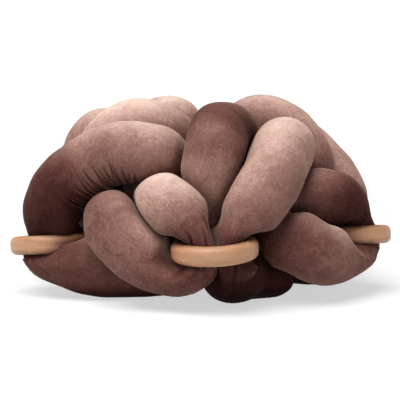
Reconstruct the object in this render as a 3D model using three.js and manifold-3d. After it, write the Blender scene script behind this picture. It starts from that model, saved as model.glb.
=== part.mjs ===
// Knot ottoman: one long stuffed velvet tube, closed on itself and knotted five times round,
// held by five wooden rings. The tube runs round the ottoman in five equal turns. In each turn
// it leaves a ring upwards and leans over as a big arc, dives under the next turn, comes out
// as a bulge, goes down through the next ring but one, hooks round below it, comes up again
// as an inner arc to the middle of the top, goes down the centre and runs out along the
// bottom to the same ring.
// Millimetres, +Z up. Angles are seen from above, counter-clockwise from the front (-Y).
// The origin is on the floor, below the middle of the overall box.
import * as THREE from "three";
import { ParametricGeometry } from "three/addons/geometries/ParametricGeometry.js";
import { mergeVertices } from "three/addons/utils/BufferGeometryUtils.js";
import Module from "manifold-3d";

const wasm = await Module();
wasm.setup();

// Driving dimensions
const TOP_HEIGHT = 367;
const BACK_SAG = 0.1;
const RING_OUTER_RADIUS = 76;
const RING_WALL = 29;
const RING_HEIGHT = 34;
const RING_CORNER = 12;
const RING_CLEARANCE = 0.4;
const RING_STEPS = 24;
const FLOOR_PRESS = 3;
const INNER_BEND = 0.65;
const TUBE_SIDES = 12;
const SETTLE_STEP = 22;
const SECTION_STEP = 30;
const SECTIONS_PER_PIECE = 7;
const MIDDLE = [2.9, -13.42];
const TOLERANCE = 0.1;

// Angle between rings in a regular turn, which the angles from a ring are measured in
const RING_GAP = 72;

// Rings: name, angle, distance of the centre from the middle, height, outward tilt, and lean
// that lifts the counter-clockwise side
const RINGS = [
  ["ring_front", 5, 288, 108, 3, 3],
  ["ring_right", 78, 286, 105, -3, -6],
  ["ring_back_right", 150, 286, 106, 3, 0],
  ["ring_back_left", 219, 286, 106, 3, 0],
  ["ring_left", 288, 288, 92, 1, 7],
];

// One turn of the tube: place, ring it belongs to (0 is the ring it leaves, 2 the ring it
// goes to), angle from that ring, distance from the middle, height, tube radius, and how
// firmly the place keeps its position when the turns press on each other
const TURN = [
  ["ring_up", 0, 4, 286, 106, 32, 1],
  ["arc_low", 0, 9, 282, 140, 48, 1],
  ["arc_side", 0, 13, 274, 174, 56, 1],
  ["arc_high", 0, 20, 255, 211, 57, 1],
  ["arc_bend", 0, 34, 227, 249, 57, 1],
  ["arc_top", 0, 51, 206, 270, 56, 1],
  ["under_in", 0, 66, 164, 250, 48, 0],
  ["under_mid", 0, 88, 138, 218, 43, 0],
  ["under_out", 2, -32, 148, 204, 44, 0],
  ["bulge_root", 2, -22, 190, 204, 50, 0],
  ["bulge_top", 2, -20, 240, 205, 55, 1],
  ["bulge_mid", 2, -13, 272, 186, 55, 1],
  ["bulge_low", 2, -6, 284, 150, 50, 1],
  ["ring_down", 2, -4, 286, 106, 32, 1],
  ["hook_low", 2, -7, 276, 94, 46, 1],
  ["hook_bottom", 2, -19, 270, 88, 54, 1],
  ["hook_side", 2, -33, 272, 110, 56, 1],
  ["hook_up", 2, -40, 264, 154, 56, 1],
  ["hook_turn", 2, -41, 236, 178, 52, 0],
  ["hook_dive", 2, -37, 200, 158, 46, 0],
  ["inner_under", 2, -26, 182, 118, 42, 0],
  ["inner_rise", 2, -10, 184, 146, 44, 0],
  ["inner_low", 2, -3, 226, 218, 54, 1],
  ["inner_mid", 2, 1, 205, 262, 57, 1],
  ["inner_high", 2, 7, 170, 294, 57, 1],
  ["inner_top", 2, 19, 122, 307, 57, 1],
  ["inner_dive", 2, 46, 70, 268, 52, 1],
  ["centre_high", 2, 72, 46, 205, 48, 2],
  ["centre_low", 2, 80, 46, 140, 48, 2],
  ["foot_in", 2, 64, 92, 66, 50, 0],
  ["foot_mid", 2, 32, 170, 53, 55, 1],
  ["foot_low", 2, 18, 224, 54, 56, 1],
  ["foot_out", 2, 7, 262, 70, 50, 1],
];

// Places that the five turns lay down unevenly: ring, place, angle from that ring,
// distance from the middle, height
const UNEVEN = [
  [0, "arc_high", 21, 257, 207],
  [0, "arc_bend", 36, 229, 243],
  [0, "arc_top", 52, 208, 263],
  [0, "under_in", 66, 164, 230],
  [0, "under_mid", 88, 138, 198],
  [0, "bulge_root", -17, 188, 174],
  [0, "bulge_top", -17, 240, 189],
  [0, "bulge_mid", -10, 272, 177],
  [0, "hook_low", -4, 278, 86],
  [0, "hook_bottom", -13, 272, 76],
  [0, "hook_side", -27, 272, 108],
  [0, "hook_up", -35, 264, 160],
  [0, "inner_low", -6, 226, 218],
  [0, "inner_mid", -3, 205, 257],
  [0, "inner_high", 2, 170, 286],
  [0, "inner_top", 14, 122, 295],
  [0, "inner_dive", 46, 70, 258],
  [0, "foot_low", 7, 216, 54],
  [0, "foot_out", 4, 256, 69],
  [1, "arc_low", 9, 274, 138],
  [1, "arc_side", 13, 254, 164],
  [1, "arc_high", 20, 240, 194],
  [1, "arc_bend", 34, 218, 224],
  [1, "arc_top", 46, 204, 241],
  [1, "inner_low", -6, 200, 215],
  [1, "inner_mid", -9, 180, 246],
  [1, "inner_high", -10, 150, 268],
  [1, "inner_top", 0, 108, 299],
  [1, "bulge_top", -20, 240, 195],
  [1, "bulge_mid", -13, 272, 175],
  [1, "hook_low", -6, 296, 94],
  [1, "hook_bottom", -15, 283, 86],
  [1, "hook_side", -31, 278, 88],
  [1, "hook_up", -42, 262, 128],
  [2, "arc_top", 51, 204, 262],
  [2, "under_in", 66, 162, 238],
  [2, "inner_high", 7, 166, 275],
  [2, "inner_top", 19, 118, 280],
  [2, "inner_dive", 46, 68, 250],
  [3, "inner_mid", -14, 182, 252],
  [3, "inner_high", -28, 132, 276],
  [3, "inner_top", -34, 78, 288],
  [3, "inner_dive", 18, 54, 262],
  [4, "ring_up", 4, 286, 93],
  [4, "arc_low", -1, 306, 140],
  [4, "arc_side", -2, 282, 184],
  [4, "arc_high", 2, 268, 222],
  [4, "arc_bend", 14, 242, 257],
  [4, "arc_top", 29, 214, 267],
  [4, "under_in", 63, 160, 222],
  [4, "under_mid", 86, 138, 195],
  [4, "inner_low", -3, 208, 230],
  [4, "inner_mid", -4, 182, 278],
  [4, "inner_high", 0, 162, 296],
  [4, "inner_top", 11, 128, 292],
  [4, "bulge_low", -9, 268, 146],
  [4, "bulge_mid", -18, 252, 186],
  [4, "bulge_top", -26, 224, 204],
  [4, "ring_down", -4, 286, 93],
  [4, "foot_out", 3, 290, 80],
  [4, "hook_bottom", -18, 276, 84],
  [4, "hook_side", -32, 274, 104],
  [4, "foot_low", 20, 242, 60],
];

// Places where the tube is stuffed fuller or thinner than in a regular turn: ring, place, radius
const STUFFED = [
  [0, "arc_low", 46],
  [0, "arc_high", 59],
  [0, "arc_bend", 60],
  [0, "arc_top", 59],
  [0, "hook_low", 49],
  [0, "inner_low", 56],
  [0, "inner_mid", 59],
  [0, "inner_high", 59],
  [0, "foot_low", 60],
  [1, "inner_low", 50],
  [1, "inner_mid", 54],
  [4, "arc_low", 55],
  [4, "arc_side", 58],
  [3, "inner_mid", 54],
  [3, "inner_high", 53],
  [3, "inner_top", 53],
  [4, "inner_low", 50],
  [4, "inner_mid", 50],
  [4, "inner_high", 52],
  [4, "foot_out", 53],
  [4, "foot_low", 54],
];

// The wide left arc has one more place after its top, before it dives: ring, the place before
// it, angle from that ring, distance from the middle, height
const ARCH_END = [4, "arc_top", 45, 190, 256];

// The filling of the middle, a turned profile: distance from the middle, height
const CORE = [
  [0, 46],
  [185, 48],
  [238, 76],
  [244, 130],
  [226, 185],
  [196, 220],
  [158, 248],
  [110, 262],
  [0, 262],
];

// How the pressed turns settle
const SETTLE_STEPS = 60;
const PRESSED = 0.9;
const FREE_ARC = 137;
const KEEP_RING = 0.35;
const KEEP_FIRM = 0.06;
const KEEP_LOOSE = 0.01;
const SMOOTH_STEPS = 4;
const DOME_BASE = 110;
const DOME_RADIUS = 300;
const DOME_HEIGHT = 224;

// Geometry in space
const radians = THREE.MathUtils.degToRad;

function at(angle, distance, height) {
  const a = radians(angle);
  return new THREE.Vector3(distance * Math.sin(a), -distance * Math.cos(a), height);
}

// An angle measured from a ring is stretched or squeezed to the gap between the real rings.
function ringAngle(turns) {
  const k = Math.floor(turns);
  const from = RINGS[k % 5][1] + 360 * Math.floor(k / 5);
  const to = RINGS[(k + 1) % 5][1] + 360 * Math.floor((k + 1) / 5);
  return from + (to - from) * (turns - k);
}

// The centre line as laid down: closed curve points with tube radius and hold
function laidLine() {
  const places = [];
  for (let turn = 0; turn < 5; turn++) {
    for (const [place, own, angle, distance, height, usual, hold] of TURN) {
      const ring = 2 * turn + own;
      const here = (row) => row[0] === ring % 5 && row[1] === place;
      const uneven = UNEVEN.find(here);
      const stuffed = STUFFED.find(here);
      const [a, r, z] = uneven ? uneven.slice(2) : [angle, distance, height];
      const radius = stuffed ? stuffed[2] : usual;
      places.push({ point: at(ringAngle(ring + a / RING_GAP), r, z), radius, hold });
      if (here(ARCH_END)) {
        const [, , more, reach, height] = ARCH_END;
        places.push({ point: at(ringAngle(ring + more / RING_GAP), reach, height), radius, hold });
      }
    }
  }
  const curve = new THREE.CatmullRomCurve3(
    places.map((p) => p.point),
    true,
    "centripetal",
  );
  const fine = [];
  const per = 12;
  const count = places.length;
  for (let i = 0; i < count; i++) {
    const from = places[i];
    const to = places[(i + 1) % count];
    for (let j = 0; j < per; j++) {
      const f = j / per;
      fine.push({
        point: curve.getPoint((i + f) / count),
        radius: THREE.MathUtils.lerp(from.radius, to.radius, THREE.MathUtils.smoothstep(f, 0, 1)),
        hold: THREE.MathUtils.lerp(from.hold, to.hold, f),
      });
    }
  }
  return fine;
}

// Points at an even step along a closed line
function evenly(line, step) {
  const lengths = [0];
  line.forEach((p, i) => {
    const next = line[(i + 1) % line.length];
    lengths.push(lengths[i] + p.point.distanceTo(next.point));
  });
  const total = lengths[line.length];
  const count = Math.round(total / step);
  const out = [];
  let i = 0;
  for (let k = 0; k < count; k++) {
    const s = (total * k) / count;
    while (lengths[i + 1] <= s) i++;
    const f = (s - lengths[i]) / (lengths[i + 1] - lengths[i]);
    const p = line[i];
    const q = line[(i + 1) % line.length];
    out.push({
      point: p.point.clone().lerp(q.point, f),
      radius: THREE.MathUtils.lerp(p.radius, q.radius, f),
      hold: THREE.MathUtils.lerp(p.hold, q.hold, f),
    });
  }
  return { stations: out, step: total / count };
}

// Turns that overlap push each other apart, the line stays smooth, and the whole stays
// inside the dome and on the floor. The last steps only smooth the line.
function settle(stations, step) {
  const n = stations.length;
  const home = stations.map((s) => s.point.clone());
  let now = stations.map((s) => s.point.clone());
  const keep = stations.map(({ radius, hold }) => {
    if (radius < 36 || hold > 1.5) return KEEP_RING;
    return KEEP_LOOSE + (KEEP_FIRM - KEEP_LOOSE) * Math.min(1, hold);
  });
  const around = (list, i) => {
    const middle = list[(i + 1) % n].clone().add(list[(i + n - 1) % n]);
    return middle.multiplyScalar(0.5).sub(list[i]);
  };
  for (let round = 0; round < SETTLE_STEPS + SMOOTH_STEPS; round++) {
    if (round < SETTLE_STEPS) {
      const moved = now.map((p, i) => p.clone().add(pressure(stations, now, i, step)));
      const bend = moved.map((p, i) => around(moved, i));
      const stiff = bend.map((b, i) => around(bend, i));
      now = moved.map((p, i) =>
        p.addScaledVector(stiff[i], -0.3).addScaledVector(bend[i], 0.05).lerp(home[i], keep[i]),
      );
    } else {
      const bend = now.map((p, i) => around(now, i));
      now = now.map((p, i) => p.addScaledVector(bend[i], 0.5));
    }
    now.forEach((p, i) => intoDome(p, stations[i].radius));
  }
  return stations.map((s, i) => ({ ...s, point: now[i] }));
}

// The push on one station from the other stretches of the tube that overlap it
function pressure(stations, now, i, step) {
  const n = stations.length;
  const push = new THREE.Vector3();
  const gap = new THREE.Vector3();
  let touching = 0;
  for (let j = 0; j < n; j++) {
    const apart = Math.min(Math.abs(i - j), n - Math.abs(i - j)) * step;
    if (apart <= FREE_ARC) continue;
    gap.subVectors(now[i], now[j]);
    const distance = gap.length() + 1e-9;
    const over = PRESSED * (stations[i].radius + stations[j].radius) - distance;
    if (over <= 0) continue;
    push.addScaledVector(gap, over / distance);
    touching++;
  }
  return push.multiplyScalar(0.3 / Math.sqrt(Math.max(1, touching)));
}

// Keeps a point of the centre line above the floor, below the top, which sags towards the
// back, and inside the dome
function intoDome(p, radius) {
  const top = TOP_HEIGHT - BACK_SAG * Math.max(0, p.y);
  p.z = THREE.MathUtils.clamp(p.z, radius - FLOOR_PRESS, top - radius);
  const rise = THREE.MathUtils.clamp((p.z - DOME_BASE) / DOME_HEIGHT, 0, 0.999);
  const widest = p.z < DOME_BASE
    ? DOME_RADIUS - (DOME_BASE - p.z) * 0.4
    : DOME_RADIUS * Math.sqrt(1 - rise * rise);
  const out = Math.hypot(p.x, p.y);
  const squeeze = out > widest ? 0.5 + (0.5 * widest) / out : 1;
  p.x *= squeeze;
  p.y *= squeeze;
}

// Cross-section axes along the closed line, carried along without twist and closed evenly
function sections(stations) {
  const n = stations.length;
  const tangent = stations.map((s, i) =>
    stations[(i + 1) % n].point.clone().sub(stations[(i + n - 1) % n].point).normalize(),
  );
  const carry = (axis, from, to) =>
    axis.applyQuaternion(new THREE.Quaternion().setFromUnitVectors(from, to)).normalize();
  const first = new THREE.Vector3(0, 0, 1).projectOnPlane(tangent[0]).normalize();
  const side = [first];
  for (let i = 1; i < n; i++) side.push(carry(side[i - 1].clone(), tangent[i - 1], tangent[i]));
  const back = carry(side[n - 1].clone(), tangent[n - 1], tangent[0]);
  const turn = Math.atan2(
    tangent[0].dot(new THREE.Vector3().crossVectors(back, first)),
    back.dot(first),
  );
  return stations.map((s, i) => {
    const u = side[i].applyAxisAngle(tangent[i], (turn * i) / n);
    const v = new THREE.Vector3().crossVectors(tangent[i], u);
    const before = s.point.clone().sub(stations[(i + n - 1) % n].point);
    const after = stations[(i + 1) % n].point.clone().sub(s.point);
    const bend = before.angleTo(after);
    const bendRadius = (before.length() + after.length()) / 2 / Math.max(bend, 1e-3);
    const inward = after.normalize().sub(before.normalize()).projectOnPlane(tangent[i]);
    return { ...s, u, v, inward: inward.normalize(), room: INNER_BEND * bendRadius };
  });
}

// Solids
function solid(geometry) {
  const bare = geometry.clone();
  bare.deleteAttribute("normal");
  bare.deleteAttribute("uv");
  const merged = mergeVertices(bare, 1e-3);
  const index = Array.from(merged.index.array);
  const kept = [];
  for (let i = 0; i < index.length; i += 3) {
    const [a, b, c] = index.slice(i, i + 3);
    if (a !== b && b !== c && c !== a) kept.push(a, b, c);
  }
  return new wasm.Manifold(
    new wasm.Mesh({
      numProp: 3,
      vertProperties: new Float32Array(merged.attributes.position.array),
      triVerts: new Uint32Array(kept),
      tolerance: TOLERANCE,
    }),
  );
}

function geometryOf(body) {
  const mesh = body.getMesh();
  const geometry = new THREE.BufferGeometry();
  geometry.setAttribute("position", new THREE.BufferAttribute(mesh.vertProperties, 3));
  geometry.setIndex(new THREE.BufferAttribute(mesh.triVerts, 1));
  geometry.computeVertexNormals();
  return geometry;
}

// One stretch of the tube between two stations, with flat ends
function stretch(rows, from, count) {
  const n = rows.length;
  const place = (around, along, target) => {
    const row = Math.round(along * (count + 2));
    const s = rows[(from + THREE.MathUtils.clamp(row - 1, 0, count)) % n];
    target.copy(s.point);
    if (row === 0 || row === count + 2) return;
    const a = 2 * Math.PI * (Math.round(around * TUBE_SIDES) % TUBE_SIDES) / TUBE_SIDES;
    const across = s.u.clone().multiplyScalar(s.radius * Math.cos(a));
    across.addScaledVector(s.v, s.radius * Math.sin(a));
    const beyond = across.dot(s.inward) - s.room;
    if (beyond > 0) across.addScaledVector(s.inward, -beyond);
    target.add(across);
  };
  const body = solid(new ParametricGeometry(place, TUBE_SIDES, count + 2));
  return body;
}

// A ring section with rounded corners, turned round the ring's axis
function ringGeometry(extra) {
  const inner = RING_OUTER_RADIUS - RING_WALL - extra;
  const outer = RING_OUTER_RADIUS + extra;
  const half = RING_HEIGHT / 2 + extra;
  const profile = [];
  const corners = [
    [outer, half, 0],
    [inner, half, 90],
    [inner, -half, 180],
    [outer, -half, 270],
  ];
  for (const [x, y, start] of corners) {
    const cx = x - Math.sign(x - (inner + outer) / 2) * RING_CORNER;
    const cy = y - Math.sign(y) * RING_CORNER;
    for (let i = 0; i <= 2; i++) {
      const a = radians(start + 45 * i);
      profile.push(new THREE.Vector2(cx + RING_CORNER * Math.cos(a), cy + RING_CORNER * Math.sin(a)));
    }
  }
  profile.push(profile[0].clone());
  return new THREE.LatheGeometry(profile, RING_STEPS).rotateX(Math.PI / 2);
}

const velvet = new THREE.MeshStandardMaterial({ color: 0x9a756a, roughness: 0.9, metalness: 0 });
const beech = { color: 0xd6a781, roughness: 0.5, metalness: 0 };

const ottoman = new THREE.Group();
ottoman.position.set(-MIDDLE[0], -MIDDLE[1], 0);

// Rings, each on a spoke turned to its angle
for (const [name, angle, distance, height, tilt, lean] of RINGS) {
  const spoke = new THREE.Group();
  spoke.rotation.z = radians(angle);
  const ring = new THREE.Mesh(ringGeometry(0), new THREE.MeshStandardMaterial(beech));
  ring.name = name;
  ring.position.set(0, -distance, height);
  ring.rotation.set(radians(tilt), radians(-lean), 0);
  spoke.add(ring);
  ottoman.add(spoke);
}

// The tube, joined from short stretches, with the middle filled
const laid = evenly(laidLine(), SETTLE_STEP);
const settled = settle(laid.stations, laid.step);
const rows = sections(evenly(settled, SECTION_STEP).stations);
let cushion = null;
for (let from = 0; from < rows.length; from += SECTIONS_PER_PIECE) {
  const count = Math.min(SECTIONS_PER_PIECE, rows.length - from);
  const piece = stretch(rows, from, count);
  cushion = cushion ? cushion.add(piece) : piece;
}
const coreProfile = CORE.map(([r, z]) => new THREE.Vector2(r, z));
cushion = cushion.add(solid(new THREE.LatheGeometry(coreProfile, 20).rotateX(Math.PI / 2)));

// The rings press their own shape into the tube, and the floor presses it flat.
ottoman.updateMatrixWorld(true);
const intoOttoman = ottoman.matrixWorld.clone().invert();
ottoman.traverse((piece) => {
  if (!piece.isMesh) return;
  const pressed = ringGeometry(RING_CLEARANCE);
  pressed.applyMatrix4(piece.matrixWorld).applyMatrix4(intoOttoman);
  cushion = cushion.subtract(solid(pressed));
});
const floor = new THREE.BoxGeometry(1000, 1000, 100).translate(0, 0, -50);
cushion = cushion.subtract(solid(floor));
const bodies = cushion.decompose().sort((a, b) => b.volume() - a.volume());

const tube = new THREE.Mesh(geometryOf(bodies[0]), velvet);
tube.name = "cushion";
ottoman.add(tube);

export default ottoman;
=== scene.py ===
# Knot ottoman: one stuffed velvet tube, closed on itself and knotted round in five turns,
# gathered through five turned beech rings. The tube is built here as one smooth surface on
# the same centre line as the solid, pressed against its own neighbours, the rings and the floor.
import math

import bpy
import numpy as np
from mathutils.kdtree import KDTree
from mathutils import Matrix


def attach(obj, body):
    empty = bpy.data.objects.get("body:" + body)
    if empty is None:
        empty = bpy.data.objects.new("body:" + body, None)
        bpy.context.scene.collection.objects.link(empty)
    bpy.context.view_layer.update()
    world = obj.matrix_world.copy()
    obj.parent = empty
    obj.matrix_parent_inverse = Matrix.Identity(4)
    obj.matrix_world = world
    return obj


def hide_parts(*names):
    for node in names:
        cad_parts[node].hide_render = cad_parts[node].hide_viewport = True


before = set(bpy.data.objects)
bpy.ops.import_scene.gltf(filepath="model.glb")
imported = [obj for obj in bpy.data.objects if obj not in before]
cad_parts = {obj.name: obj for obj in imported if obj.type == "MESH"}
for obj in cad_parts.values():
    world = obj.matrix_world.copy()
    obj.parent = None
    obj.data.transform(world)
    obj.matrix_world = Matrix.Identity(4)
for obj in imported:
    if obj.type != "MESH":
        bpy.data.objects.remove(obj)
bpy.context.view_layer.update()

# Seed of every random draw
SEED = 7
rng = np.random.default_rng(SEED)

# Driving dimensions, in millimetres and degrees, as in the solid
MIDDLE = (2.9, -13.42)
TOP_HEIGHT = 367
BACK_SAG = 0.1
RING_OUTER_RADIUS = 76
RING_WALL = 29
RING_HEIGHT = 34
RING_CORNER = 12
FLOOR_PRESS = 3
METRE = 1000

# Camera: degrees above the floor, the height it aims at, its distance in metres, the width
# of its sensor, the photograph's pixels across and the millimetres that a pixel shows
VIEW_ELEVATION = 6
AIM_HEIGHT = 164
DISTANCE = 3.0
SENSOR = 36
PHOTO_WIDTH = 400
PIXEL = 1.9
FARTHEST = 60

# Rings: name, angle, distance of the centre from the middle, height, outward tilt, and lean
# that lifts the anticlockwise side
RINGS = [
    ("ring_front", 5, 288, 108, 3, 3),
    ("ring_right", 78, 286, 105, -3, -6),
    ("ring_back_right", 150, 286, 106, 3, 0),
    ("ring_back_left", 219, 286, 106, 3, 0),
    ("ring_left", 288, 288, 92, 1, 7),
]

# One turn of the tube: place, ring it belongs to, angle from that ring, distance from the
# middle, height, tube radius, hold, and how light the pile lies there, partly its nap and partly
# painted shade and light
TURN = [
    ("ring_up", 0, 4, 286, 106, 32, 1, 0.4),
    ("arc_low", 0, 9, 282, 140, 48, 1, 0.5),
    ("arc_side", 0, 13, 274, 174, 56, 1, 0.6),
    ("arc_high", 0, 20, 255, 211, 57, 1, 0.6),
    ("arc_bend", 0, 34, 227, 249, 57, 1, 0.6),
    ("arc_top", 0, 51, 206, 270, 56, 1, 0.7),
    ("under_in", 0, 66, 164, 250, 48, 0, 0.4),
    ("under_mid", 0, 88, 138, 218, 43, 0, 0.4),
    ("under_out", 2, -32, 148, 204, 44, 0, 0.4),
    ("bulge_root", 2, -22, 190, 204, 50, 0, 0.6),
    ("bulge_top", 2, -20, 240, 205, 55, 1, 0.7),
    ("bulge_mid", 2, -13, 272, 186, 55, 1, 0.6),
    ("bulge_low", 2, -6, 284, 150, 50, 1, 0.5),
    ("ring_down", 2, -4, 286, 106, 32, 1, 0.4),
    ("hook_low", 2, -7, 276, 94, 46, 1, 0.4),
    ("hook_bottom", 2, -19, 270, 88, 54, 1, 0.5),
    ("hook_side", 2, -33, 272, 110, 56, 1, 0.6),
    ("hook_up", 2, -40, 264, 154, 56, 1, 0.5),
    ("hook_turn", 2, -41, 236, 178, 52, 0, 0.3),
    ("hook_dive", 2, -37, 200, 158, 46, 0, 0.3),
    ("inner_under", 2, -26, 182, 118, 42, 0, 0.3),
    ("inner_rise", 2, -10, 184, 146, 44, 0, 0.4),
    ("inner_low", 2, -3, 226, 218, 54, 1, 0.5),
    ("inner_mid", 2, 1, 205, 262, 57, 1, 0.6),
    ("inner_high", 2, 7, 170, 294, 57, 1, 0.6),
    ("inner_top", 2, 19, 122, 307, 57, 1, 0.6),
    ("inner_dive", 2, 46, 70, 268, 52, 1, 0.5),
    ("centre_high", 2, 72, 46, 205, 48, 2, 0.4),
    ("centre_low", 2, 80, 46, 140, 48, 2, 0.4),
    ("foot_in", 2, 64, 92, 66, 50, 0, 0.3),
    ("foot_mid", 2, 32, 170, 53, 55, 1, 0.4),
    ("foot_low", 2, 18, 224, 54, 56, 1, 0.4),
    ("foot_out", 2, 7, 262, 70, 50, 1, 0.4),
]

# Places that the five turns lay down unevenly: ring, place, angle, distance, height
UNEVEN = [
    (0, "arc_high", 21, 257, 207),
    (0, "arc_bend", 36, 229, 243),
    (0, "arc_top", 52, 208, 263),
    (0, "under_in", 66, 164, 230),
    (0, "under_mid", 88, 138, 198),
    (0, "bulge_root", -17, 188, 174),
    (0, "bulge_top", -17, 240, 189),
    (0, "bulge_mid", -10, 272, 177),
    (0, "hook_low", -4, 278, 86),
    (0, "hook_bottom", -13, 272, 76),
    (0, "hook_side", -27, 272, 108),
    (0, "hook_up", -35, 264, 160),
    (0, "inner_low", -6, 226, 218),
    (0, "inner_mid", -3, 205, 257),
    (0, "inner_high", 2, 170, 286),
    (0, "inner_top", 14, 122, 295),
    (0, "inner_dive", 46, 70, 258),
    (0, "foot_low", 7, 216, 54),
    (0, "foot_out", 4, 256, 69),
    (1, "arc_low", 9, 274, 138),
    (1, "arc_side", 13, 254, 164),
    (1, "arc_high", 20, 240, 194),
    (1, "arc_bend", 34, 218, 224),
    (1, "arc_top", 46, 204, 241),
    (1, "inner_low", -6, 200, 215),
    (1, "inner_mid", -9, 180, 246),
    (1, "inner_high", -10, 150, 268),
    (1, "inner_top", 0, 108, 299),
    (1, "bulge_top", -20, 240, 195),
    (1, "bulge_mid", -13, 272, 175),
    (1, "hook_low", -6, 296, 94),
    (1, "hook_bottom", -15, 283, 86),
    (1, "hook_side", -31, 278, 88),
    (1, "hook_up", -42, 262, 128),
    (2, "arc_top", 51, 204, 262),
    (2, "under_in", 66, 162, 238),
    (2, "inner_high", 7, 166, 275),
    (2, "inner_top", 19, 118, 280),
    (2, "inner_dive", 46, 68, 250),
    (3, "inner_mid", -14, 182, 252),
    (3, "inner_high", -28, 132, 276),
    (3, "inner_top", -34, 78, 288),
    (3, "inner_dive", 18, 54, 262),
    (4, "ring_up", 4, 286, 93),
    (4, "arc_low", -1, 306, 140),
    (4, "arc_side", -2, 282, 184),
    (4, "arc_high", 2, 268, 222),
    (4, "arc_bend", 14, 242, 257),
    (4, "arc_top", 29, 214, 267),
    (4, "under_in", 63, 160, 222),
    (4, "under_mid", 86, 138, 195),
    (4, "inner_low", -3, 208, 230),
    (4, "inner_mid", -4, 182, 278),
    (4, "inner_high", 0, 162, 296),
    (4, "inner_top", 11, 128, 292),
    (4, "bulge_low", -9, 268, 146),
    (4, "bulge_mid", -18, 252, 186),
    (4, "bulge_top", -26, 224, 204),
    (4, "ring_down", -4, 286, 93),
    (4, "foot_out", 3, 290, 80),
    (4, "hook_bottom", -18, 276, 84),
    (4, "hook_side", -32, 274, 104),
    (4, "foot_low", 20, 242, 60),
]

# Places where the tube is stuffed fuller or thinner: ring, place, radius
STUFFED = [
    (0, "arc_low", 46),
    (0, "arc_high", 59),
    (0, "arc_bend", 60),
    (0, "arc_top", 59),
    (0, "hook_low", 49),
    (0, "inner_low", 56),
    (0, "inner_mid", 59),
    (0, "inner_high", 59),
    (0, "foot_low", 60),
    (1, "inner_low", 50),
    (1, "inner_mid", 54),
    (4, "arc_low", 55),
    (4, "arc_side", 58),
    (3, "inner_mid", 54),
    (3, "inner_high", 53),
    (3, "inner_top", 53),
    (4, "inner_low", 50),
    (4, "inner_mid", 50),
    (4, "inner_high", 52),
    (4, "foot_out", 53),
    (4, "foot_low", 54),
]

# How light the pile lies at single places, partly where it was brushed otherwise and partly painted
# shade under the arches and near the floor and painted light on lit tops: ring, place, lightness
NAP_AND_SHADE = [
    (0, "ring_up", 0.2),
    (0, "arc_bend", 0.7),
    (0, "arc_top", 0.8),
    (0, "bulge_top", 0.8),
    (0, "bulge_mid", 0.7),
    (0, "hook_side", 0.6),
    (0, "hook_up", 0.4),
    (0, "hook_turn", 0.0),
    (0, "inner_rise", 0.8),
    (0, "inner_low", 0.7),
    (0, "inner_mid", 0.4),
    (0, "inner_high", 0.1),
    (0, "inner_top", 0.2),
    (0, "foot_mid", 0.0),
    (0, "foot_low", 0.0),
    (0, "foot_out", 0.0),
    (1, "bulge_top", 0.4),
    (1, "bulge_mid", 0.1),
    (1, "bulge_low", 0.1),
    (1, "hook_up", 0.4),
    (1, "foot_in", 0.0),
    (1, "foot_mid", 0.0),
    (1, "foot_low", 0.0),
    (3, "inner_top", 0.8),
    (4, "inner_mid", 0.8),
    (4, "inner_high", 0.8),
    (4, "inner_top", 0.8),
    (4, "ring_up", 0.2),
    (4, "arc_low", 0.1),
    (4, "arc_side", 0.2),
    (4, "arc_high", 0.2),
    (4, "arc_bend", 0.6),
    (4, "arc_top", 0.6),
]

# Painted light and shade on the other sides next to the one that faces out, lighter facing up and
# left, darker facing down: up, down, left, right
PAINTED_SIDE_LIGHT = (0.4, -0.2, 0.1, 0.0)

# The arch over the left ring ends in one more place: ring, place before, angle, distance, height
ARCH_END = (4, "arc_top", 45, 190, 256)

# Angle between two rings of a regular turn
RING_STEP = 72

# How the laid line settles: points to a place, the stations, how far stretches push each
# other apart, how stiff the line is, how much of its laid place it keeps, and the dome
LINE_POINTS = 12
SETTLE_STEP = 22
SETTLE_STEPS = 60
SMOOTH_STEPS = 4
PUSH_SHARE = 0.3
BEND_SHARE = 0.3
STRAIGHTEN = 0.05
SMOOTH_SHARE = 0.5
PRESSED = 0.9
FREE_ARC = 137
NECK_RADIUS = 36
HELD_MOST = 1.5
KEEP_RING = 0.35
KEEP_FIRM = 0.06
KEEP_LOOSE = 0.01
DOME_BASE = 110
DOME_RADIUS = 300
DOME_HEIGHT = 224
DOME_FLARE = 0.4

# Mesh of the tube: points round it, points to a station of the settled line, its thinnest
# and thickest radius, and the spacing of its sections
AROUND = 64
DENSE_POINTS = 24
THINNEST = 30
THICKEST = 58
STEP_SEEN = 5.9
STEP_HIDDEN = 15
STEP_PLEATED = 2.2
SEEN_SPREAD = 60
SEEN_GAIN = 1.3
PLEATED_FADE = 60
FACING_SPREAD = 40
FACING_FULL = 0.7
CROWDED_OUTSIDE = 0.5
HEART = (0, 0, 120)

# Where a ray of the section stops: at a neighbouring stretch within reach, but not at its own
# next few millimetres, or inside a ring. An open ray runs on.
NEIGHBOUR_STEP = 7
NEIGHBOUR_REACH = 135
OWN_STRETCH = 14
CLOTH_GAP = 0.5
OPEN = 200.0
RAY_LENGTHS = (2, 90, 0.75)
RING_STRETCH = 90
RING_REACH = 110
RING_GAP = 0.8
HOLE_GAP = 0.4
LEAST_LIMIT = 3
LEAST_RADIUS = 2

# Where the tube fills every corner: in the rings and in the middle of the knot
FULL_AT_RING = 68
FULL_FROM = 15
FULL_TO = 29
TIGHT_FADE = 6
HEART_REACH = 95
HEART_TOP = 235
HEART_OVER = 8
HOLE = RING_OUTER_RADIUS - RING_WALL
FUNNEL = 1.3
FUNNEL_START = 9
FUNNEL_LONG = 34
FUNNEL_LOOSE = 1.6
SOFT_EDGE = 7

# Lumps of the filling: waves to a turn, waves round the tube, height
LUMPS = [
    (9, 1, 1.0),
    (17, 2, 0.8),
    (31, 3, 0.5),
    (53, 2, 0.4),
]

# Pleats across the tube on the inner side of a bend: ring, first and last place, the point
# they run towards (angle, distance, height), number, reach round the tube, depth, width
PLEATS = [
    (4, "arc_side", "arc_over", (319, 262, 190), 26, 64, 3.6, 2.0),
]

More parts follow.
